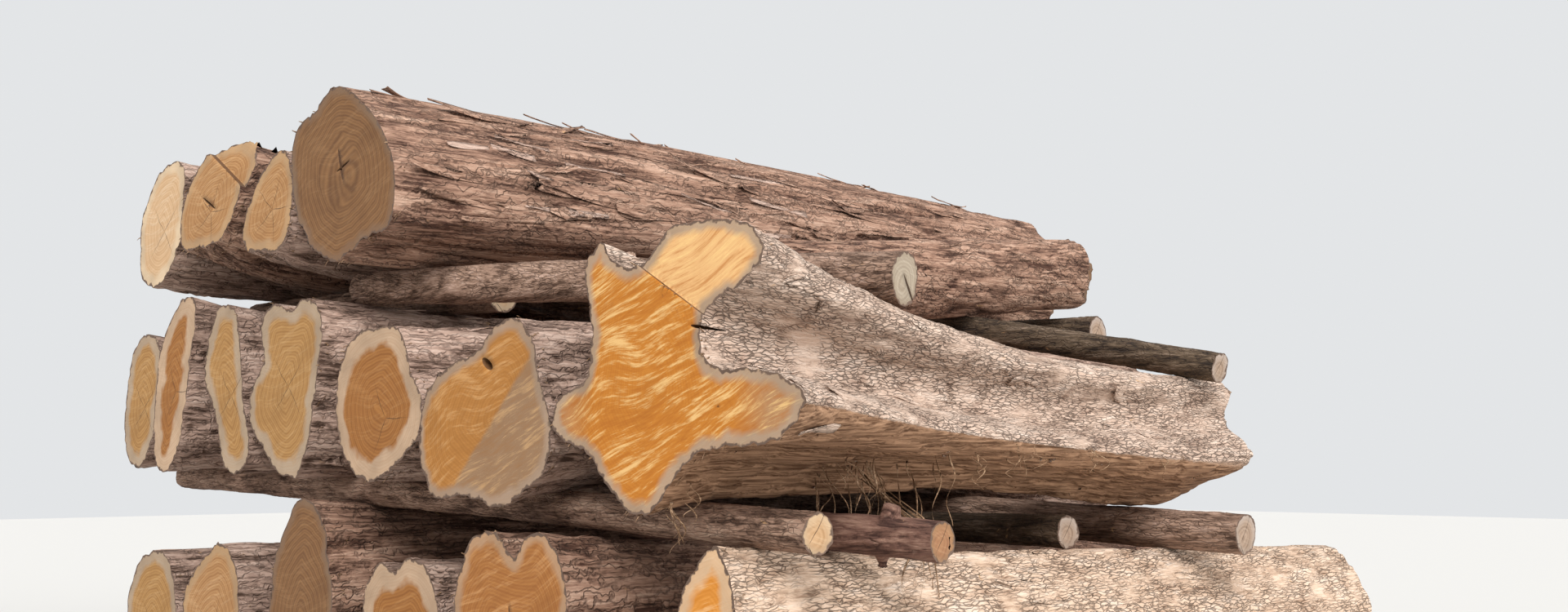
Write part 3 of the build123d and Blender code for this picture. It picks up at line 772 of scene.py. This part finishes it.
# Sawn ends: fresh heartwood and its late wood, saw streaks, the sapwood and its width, and how strong rings,
# streaks and stains are and how many cracks there are; the tone of a second cut, and of the half that a stain
# covers. The front log's heartwood and sapwood are in the panel.
ENDS = {
    "amber": dict(
        late="#A86018", streak="#E8C080", sap_width=0.014,
        rings=0.3, streaks=1.0, stains=0.5, cracks=0, second="#DEB078",
    ),
    "half_grey": dict(
        heart="#B67D3E", late="#96622A", streak="#DDB07A", sap="#A58E7A", sap_width=0.014,
        rings=0.5, streaks=0.5, stains=0.5, cracks=0, half="#8E735A",
    ),
    "ringed": dict(
        heart="#A26D38", late="#825024", streak="#CFA06A", sap="#C6AA8E", sap_width=0.032,
        rings=1.0, streaks=0.2, stains=0.4, cracks=3,
    ),
    "brown": dict(
        heart="#B58A55", late="#8C6233", streak="#D0AC7C", sap="#B09C86", sap_width=0.022,
        rings=0.8, streaks=0.3, stains=0.7, cracks=4,
    ),
    "umber": dict(
        heart="#8C6540", late="#5E3E26", streak="#B28C64", sap="#7E6048", sap_width=0.012,
        rings=0.8, streaks=0.2, stains=1.0, cracks=0,
    ),
    "tan": dict(
        heart="#B68A5C", late="#93663C", streak="#DEB98D", sap="#B9966F", sap_width=0.018,
        rings=1.0, streaks=0.3, stains=0.6, cracks=5,
    ),
    "straw": dict(
        heart="#D8B690", late="#B89066", streak="#F0DCC0", sap="#DCC4A4", sap_width=0.02,
        rings=0.7, streaks=0.3, stains=0.4, cracks=4,
    ),
    "orange": dict(
        heart="#AF773F", late="#875024", streak="#D6A470", sap="#B59272", sap_width=0.016,
        rings=0.6, streaks=0.5, stains=0.8, cracks=0,
    ),
    "bright_heart": dict(
        heart="#DC9644", late="#BE731C", streak="#ECC08C", sap="#DABB98", sap_width=0.022,
        rings=0.5, streaks=0.7, stains=0.3, cracks=0,
    ),
    "pole_end": dict(
        heart="#A8907C", late="#7A6350", streak="#BFAE9C", sap="#AC9C90", sap_width=0.008,
        rings=0.9, streaks=0.2, stains=0.5, cracks=3,
    ),
    "pole_straw": dict(
        heart="#C09C76", late="#9C7852", streak="#D8BC9A", sap="#BFA484", sap_width=0.008,
        rings=0.8, streaks=0.4, stains=0.4, cracks=3,
    ),
    "pole_pale_end": dict(
        heart="#B0A28E", late="#8A7B69", streak="#C2B5A4", sap="#9E8E7A", sap_width=0.006,
        rings=0.7, streaks=0.2, stains=0.4, cracks=0,
    ),
    "pole_orange": dict(
        heart="#A67A56", late="#7E543A", streak="#BE9672", sap="#94704E", sap_width=0.006,
        rings=0.7, streaks=0.4, stains=0.6, cracks=3,
    ),
}


def bark_material(name, stops, patch, fibre=0.09, reach=0.125, plates=None, crazed=0.0, along=0, belly=None):
    """Weathered hardwood bark, dry and fibrous: dull, with long furrows darkened by painted shade between
    paler ridges.
    """
    made, node = blank("weathered_bark_" + name)
    fibres = grain_pattern(node, along, (FIBRE_WIDTH, fibre), 7.0, 0.5)
    broad = grain_pattern(node, along, BROAD_TONES, 4.0)
    hairs = grain_pattern(node, along, HAIRS, 4.0)
    # Painted shade: the furrow attribute darkens the furrows and the foot of the plates' edges.
    furrow = node("Attribute", attribute_name="furrow").outputs["Fac"]
    tone = node("Math", fibres, FIBRE_SHARE, operation="MULTIPLY")
    for pattern, share in ((broad, BROAD_SHARE), (hairs, HAIR_SHARE), (furrow, FURROW_SHADE_SHARE)):
        tone = node("Math", pattern, share, tone, operation="MULTIPLY_ADD")
    tones = (BODY_TONE - reach, BODY_TONE, BODY_TONE + 1.1 * reach)
    colour = node("ValToRGB", tone, stops=tuple(zip(tones, stops)))
    # The outer layer has come away in patches with torn edges.
    torn = grain_pattern(node, along, TORN_PATCHES, 5.0, 0.6)
    torn = node("Math", torn, 14.0, -8.4, operation="MULTIPLY_ADD", use_clamp=True)
    bared = node("Mix", tone, stops[1], patch, data_type="RGBA")
    colour = node("Mix", node("Math", torn, 0.5, operation="MULTIPLY"), colour, bared, data_type="RGBA")
    height = node("Math", torn, -0.25, fibres, operation="MULTIPLY_ADD")
    # Knocks have chipped it down to fresh wood here and there.
    chip = grain_pattern(node, along, CHIPS, 4.0, 1.0)
    chip = node("Math", chip, 22.0, -15.2, operation="MULTIPLY_ADD", use_clamp=True)
    fresh = node("Mix", fibres, *CHIPPED, data_type="RGBA")
    colour = node("Mix", node("Math", chip, 0.85, operation="MULTIPLY"), colour, fresh, data_type="RGBA")
    if belly:
        # Below, where the log faces down, painted shade: a darker tone with long streaks; the relief there is
        # smoother too.
        streak = grain_pattern(node, along, BELLY_SHADE_STREAKS, 4.0)
        inner = node("ValToRGB", streak, stops=((0.38, belly[0]), (0.62, belly[1])))
        low = node("Attribute", attribute_name="belly").outputs["Fac"]
        low = node("Math", low, 3.2, -2.4, operation="MULTIPLY_ADD")
        low = node("Math", broad, 1.6, low, operation="MULTIPLY_ADD", use_clamp=True)
        colour = node("Mix", low, colour, inner, data_type="RGBA")
        smooth = node("Math", low, -0.6, 1.0, operation="MULTIPLY_ADD")
        height = node("Math", height, smooth, operation="MULTIPLY")
    if plates:
        # Drying cracks part the bark into plates.
        place = node("TexCoord").outputs["Object"]
        sway = node("TexNoise", place, Scale=38.0, Detail=2.0)
        scale = [1 / plates[0]] * 3
        scale[along] = 1 / plates[1]
        cell = node("Mapping", swayed(node, place, sway, 2.6 * plates[0]), Scale=scale)
        cell = node("TexVoronoi", cell, feature="DISTANCE_TO_EDGE", Scale=1.0)
        gap = node("Math", cell, -1 / CRACK_SHARE, 1.0, operation="MULTIPLY_ADD", use_clamp=True)
        # The cracks come and go over the surface, and the smooth belly has none.
        where = grain_pattern(node, along, CRAZED_AREAS, 3.0)
        where = node("Math", where, 5.0, -1.6, operation="MULTIPLY_ADD", use_clamp=True)
        gap = node("Math", gap, where, operation="MULTIPLY")
        if belly:
            gap = node("Math", gap, node("Math", 1.0, low, operation="SUBTRACT"), operation="MULTIPLY")
        dark = node("Math", gap, 0.75 * crazed, operation="MULTIPLY")
        colour = node("Mix", dark, colour, CRACK_TONE, data_type="RGBA")
        height = node("Math", gap, -1.1 * crazed, height, operation="MULTIPLY_ADD")
    bump = node("Bump", Height=height, Strength=0.9, Distance=0.004)
    shader = node("BsdfPrincipled", Base_Color=colour, Roughness=0.88, Specular_IOR_Level=0.25, Normal=bump)
    node("OutputMaterial", shader)
    return made


def end_material(
    name, heart, late, streak, sap, sap_width, rings, streaks, stains, cracks, second=None, half=None
):
    """Sawn end grain, cut with a chain saw: growth rings, a sapwood band and slanting saw streaks."""
    made, node = blank("sawn_end_" + name)
    depth = node("Attribute", attribute_name="rim_depth").outputs["Fac"]
    cut = node("Attribute", attribute_name="cut").outputs["Fac"]
    plane = node("UVMap", uv_map="end_plane")
    sway = node("TexNoise", plane, Scale=9.0, Detail=3.0)
    place = swayed(node, plane, sway, 0.03)
    parts = node("SeparateXYZ", place).outputs
    radius = node("VectorMath", place, operation="LENGTH")
    ring = node("Math", radius, node("Math", depth, 0.9, operation="MULTIPLY"), operation="SUBTRACT")
    wave = node("Math", node("Math", ring, 2 * math.pi / RING_BAND, operation="MULTIPLY"), operation="SINE")
    fine = node("Math", node("Math", ring, 2 * math.pi / RING, operation="MULTIPLY"), operation="SINE")
    wave = node("Math", wave, 0.25, operation="MULTIPLY")
    grain = node("Math", wave, node("Math", fine, 0.35, operation="MULTIPLY"), operation="ADD")
    grain = node("Math", grain, rings, 0.5, operation="MULTIPLY_ADD")
    early = node("Math", grain, 0.75, 0.2, operation="MULTIPLY_ADD")
    wood = node("Mix", early, late, heart, data_type="RGBA")
    if second:
        in_second = node("Math", cut, float(SECOND_CUT), 0.4, operation="COMPARE")
        wood = node("Mix", node("Math", in_second, 0.9, operation="MULTIPLY"), wood, second, data_type="RGBA")
        # The outer lobes of this cut have greyed.
        aside = node("Math", parts[0], operation="ABSOLUTE")
        aside = node(
            "Math", aside, 1 / GREY_FADE, -GREY_FROM / GREY_FADE, operation="MULTIPLY_ADD", use_clamp=True
        )
        wood = node("Mix", node("Math", aside, 0.6, operation="MULTIPLY"), wood, GREYED, data_type="RGBA")
    if half:
        # A grey stain covers the lower half of the cut on the side towards the front.
        across = node("Math", parts[0], parts[1], operation="ADD")
        covered = node("Math", across, -1 / HALF_FADE, 0.6, operation="MULTIPLY_ADD", use_clamp=True)
        wood = node("Mix", node("Math", covered, 0.85, operation="MULTIPLY"), wood, half, data_type="RGBA")
    # The chain leaves slanting pale streaks, which fan out across the cut, with dark ones between them.
    bend = node("TexNoise", plane, Scale=3.5, Detail=1.0)
    bend = swayed(node, plane, bend, 0.16)
    slant = node("Mapping", bend, vector_type="TEXTURE", Rotation=(0, 0, SAW_TURN), Scale=SAW_STREAK)
    saw = node("TexNoise", slant, Scale=1.0, Detail=4.0, Roughness=0.75)
    swath = node("TexNoise", slant, Scale=0.3, Detail=2.0)
    saw = node("Math", swath, 0.55, node("Math", saw, 0.275, operation="SUBTRACT"), operation="MULTIPLY_ADD")
    deep = node("Math", saw, -6.5, 3.15, operation="MULTIPLY_ADD", use_clamp=True)
    wood = node("Mix", node("Math", deep, 0.6 * streaks, operation="MULTIPLY"), wood, late, data_type="RGBA")
    saw = node("Math", saw, 6.5, -3.25, operation="MULTIPLY_ADD", use_clamp=True)
    wood = node("Mix", node("Math", saw, 0.8 * streaks, operation="MULTIPLY"), wood, streak, data_type="RGBA")
    stain = node("TexNoise", plane, Scale=8.0, Detail=5.0, Roughness=0.65)
    stain = node("Math", stain, 4.5, -2.3, operation="MULTIPLY_ADD", use_clamp=True)
    stain = node("Math", stain, 0.55 * stains, operation="MULTIPLY")
    wood = node("Mix", stain, wood, node("Mix", 0.35, late, STAIN_TONE, data_type="RGBA"), data_type="RGBA")
    # The sapwood's inner edge wavers and fades over a few millimetres, and the bark's own edge is ragged.
    wide = node("TexNoise", plane, Scale=14.0, Detail=3.0)
    inset = node("Math", wide, 2.2 * sap_width, -1.1 * sap_width, operation="MULTIPLY_ADD")
    inset = node("Math", depth, inset, operation="ADD")
    edge = (0.008 + sap_width) / SAP_FADE
    in_sap = node("Math", inset, -1 / SAP_FADE, edge, operation="MULTIPLY_ADD", use_clamp=True)
    outer = node("Mix", node("Math", grain, 0.3, operation="MULTIPLY"), sap, late, data_type="RGBA")
    weathering = node("Math", sway, 3.0, -1.2, operation="MULTIPLY_ADD", use_clamp=True)
    outer = node("Mix", weathering, outer, WEATHERED, data_type="RGBA")
    outer = node("Mix", 0.35, outer, sap, data_type="RGBA")
    wood = node("Mix", node("Math", in_sap, 0.9, operation="MULTIPLY"), wood, outer, data_type="RGBA")
    ragged = node("TexNoise", plane, Scale=70.0, Detail=4.0)
    in_bark = node("Math", ragged, 0.018, -0.0045, operation="MULTIPLY_ADD")
    in_bark = node("Math", in_bark, depth, operation="SUBTRACT")
    in_bark = node("Math", in_bark, 500.0, operation="MULTIPLY", use_clamp=True)
    wood = node("Mix", in_bark, wood, node("Mix", sway, *BARK_EDGES, data_type="RGBA"), data_type="RGBA")
    if cracks:
        angle = node("Math", parts[1], parts[0], operation="ARCTAN2")
        turn = node("Math", angle, cracks / (2 * math.pi), operation="MULTIPLY")
        off = node("Math", node("Math", turn, operation="FRACT"), 0.5, operation="SUBTRACT")
        off = node("Math", off, operation="ABSOLUTE")
        # A crack is about 3 mm wide at the pith and closes outwards.
        gap = node("Math", off, radius, operation="MULTIPLY")
        gap = node("Math", gap, 2 * math.pi / cracks, operation="MULTIPLY")
        width = node("Math", radius, CRACK_CLOSES, CRACK_WIDTH, operation="MULTIPLY_ADD")
        crack = node("Math", width, gap, operation="SUBTRACT")
        crack = node("Math", crack, 1600.0, operation="MULTIPLY", use_clamp=True)
        wood = node("Mix", node("Math", crack, 0.85, operation="MULTIPLY"), wood, END_CRACK, data_type="RGBA")
    # Painted shade: the walls of a split are painted dark.
    in_split = node("Math", cut, float(SPLIT), 0.4, operation="COMPARE")
    wood = node("Mix", node("Math", in_split, 0.8, operation="MULTIPLY"), wood, SPLIT_WALL_SHADE, data_type="RGBA")
    bump = node("Bump", Height=saw, Strength=0.35, Distance=0.0015)
    shader = node("BsdfPrincipled", Base_Color=wood, Roughness=0.75, Specular_IOR_Level=0.3, Normal=bump)
    node("OutputMaterial", shader)
    return made


def material(name):
    """The material of a bark or a sawn end, made the first time that it is asked for."""
    family, kind = name.split("_", 1)
    full = ("weathered_bark_" if family == "bark" else "sawn_end_") + kind
    if full in bpy.data.materials:
        return bpy.data.materials[full]
    if family == "bark":
        return bark_material(kind, **BARKS[kind])
    chosen = {}
    if kind == LOG_FINISH["middle_log_1"]["end"]:
        colours = bpy.context.scene.heap_wood
        chosen = {"heart": colours.heart[:], "sap": colours.sap[:]}
    return end_material(kind, **ENDS[kind], **chosen)


class HEAP_OT_logs(bpy.types.Operator):
    """Dress the logs with furrowed bark and sawn ends"""

    bl_idname = "heap.logs"
    bl_label = "Logs"

    def execute(self, context):
        sizes = context.scene.heap_bark
        for place, (name, finish) in enumerate(LOG_FINISH.items()):
            dress(name, finish, 0, sizes, SEED_STEP * place + LOG_SEED)
        return {"FINISHED"}


class HEAP_OT_poles(bpy.types.Operator):
    """Dress the bearer poles with thin bark and cut ends"""

    bl_idname = "heap.poles"
    bl_label = "Poles"

    def execute(self, context):
        sizes = context.scene.heap_bark
        for place, (name, finish) in enumerate(POLE_FINISH.items()):
            dress(name, finish, 1, sizes, SEED_STEP * place + POLE_SEED)
        return {"FINISHED"}


class HEAP_OT_loose_bark(bpy.types.Operator):
    """Lift torn strips off the bark, fray the sawn rims and hang bark strings under the front log"""

    bl_idname = "heap.loose_bark"
    bl_label = "Loose Bark"

    def execute(self, context):
        draws = random.Random(LOOSE_SEED)
        for finish, strips in STRIPS.items():
            form = bmesh.new()
            for strip in strips:
                lift_strips(form, *strip, draws)
            loose_piece("bark_strips_" + finish, form, finish)
        form = bmesh.new()
        for name, count, longest in FRAYED:
            fray_rim(form, name, count, longest, draws)
        loose_piece("frayed_rims", form, "string")
        form = bmesh.new()
        hang_strings(form, "middle_log_1", STRINGS, draws)
        loose_piece("hanging_bark", form, "string")
        return {"FINISHED"}


class HEAP_OT_stage(bpy.types.Operator):
    """Lay the floor and set the lamps, the sky and the camera"""

    bl_idname = "heap.stage"
    bl_label = "Stage"

    def execute(self, context):
        scene = context.scene
        stage = scene.heap_stage
        form = bmesh.new()
        bmesh.ops.create_grid(form, x_segments=1, y_segments=1, size=FLOOR_REACH)
        mesh = bpy.data.meshes.new("floor")
        form.to_mesh(mesh)
        form.free()
        floor = bpy.data.objects.new("floor", mesh)
        scene.collection.objects.link(floor)
        made, node = blank("pale_floor")
        node("OutputMaterial", node("BsdfPrincipled", Base_Color=stage.floor_colour[:], Roughness=0.9))
        mesh.materials.append(made)
        scene.world = bpy.data.worlds.new("pale_sky")
        scene.world.use_nodes = True
        scene.world.node_tree.nodes.clear()
        node = partial(put, scene.world.node_tree)
        # The sky seen in the view and in gloss is pale, and the sky that lights the logs is softer.
        ray = node("LightPath").outputs
        seen = node("Math", ray["Is Camera Ray"], ray["Is Glossy Ray"], operation="MAXIMUM")
        seen = node("Math", seen, ray["Is Transmission Ray"], operation="MAXIMUM")
        strength = node("Math", seen, SEEN_SKY - stage.sky_light, stage.sky_light, operation="MULTIPLY_ADD")
        node("OutputWorld", node("Background", stage.sky_colour[:], strength))
        for name, (place, share, spread) in LAMPS.items():
            lamp = bpy.data.lights.new(name, "SUN")
            lamp.energy, lamp.angle = share * stage.key_light, math.radians(spread)
            lamp_object = bpy.data.objects.new(name, lamp)
            lamp_object.location = place
            aim = Vector(LAMP_TARGET) - Vector(place)
            lamp_object.rotation_euler = aim.to_track_quat("-Z", "Y").to_euler()
            scene.collection.objects.link(lamp_object)
        camera = bpy.data.cameras.new("camera")
        camera.lens, camera.sensor_width = stage.focal_length, 36.0
        camera_object = bpy.data.objects.new("camera", camera)
        camera_object.location = stage.camera_place
        turn, tilt = stage.camera_turn, stage.camera_tilt
        look = Vector((math.cos(turn) * math.cos(tilt), math.sin(turn) * math.cos(tilt), math.sin(tilt)))
        camera_object.rotation_euler = look.to_track_quat("-Z", "Y").to_euler()
        scene.collection.objects.link(camera_object)
        scene.camera = camera_object
        scene.view_settings.view_transform = "Standard"
        return {"FINISHED"}


class HEAP_PT_panel(bpy.types.Panel):
    """Lists the pieces of the heap and their sizes"""

    bl_label = "Heap of Logs"
    bl_idname = "HEAP_PT_panel"
    bl_space_type = "VIEW_3D"
    bl_region_type = "UI"
    bl_category = "Logs"

    def draw(self, context):
        for operator in OPERATORS:
            self.layout.operator(operator.bl_idname)
        for group in (context.scene.heap_bark, context.scene.heap_wood, context.scene.heap_stage):
            for name in group.bl_rna.properties.keys():
                if name not in ("rna_type", "name"):
                    self.layout.prop(group, name)


OPERATORS = (HEAP_OT_logs, HEAP_OT_poles, HEAP_OT_loose_bark, HEAP_OT_stage)
CLASSES = (BarkSizes, WoodColours, StageSettings, *OPERATORS, HEAP_PT_panel)


def register():
    for cls in CLASSES:
        bpy.utils.register_class(cls)
    bpy.types.Scene.heap_bark = bpy.props.PointerProperty(type=BarkSizes)
    bpy.types.Scene.heap_wood = bpy.props.PointerProperty(type=WoodColours)
    bpy.types.Scene.heap_stage = bpy.props.PointerProperty(type=StageSettings)


def unregister():
    for name in ("heap_bark", "heap_wood", "heap_stage"):
        delattr(bpy.types.Scene, name)
    for cls in reversed(CLASSES):
        bpy.utils.unregister_class(cls)


def main():
    register()
    bpy.ops.heap.logs()
    bpy.ops.heap.poles()
    bpy.ops.heap.loose_bark()
    bpy.ops.heap.stage()


if __name__ == "__main__":
    main()
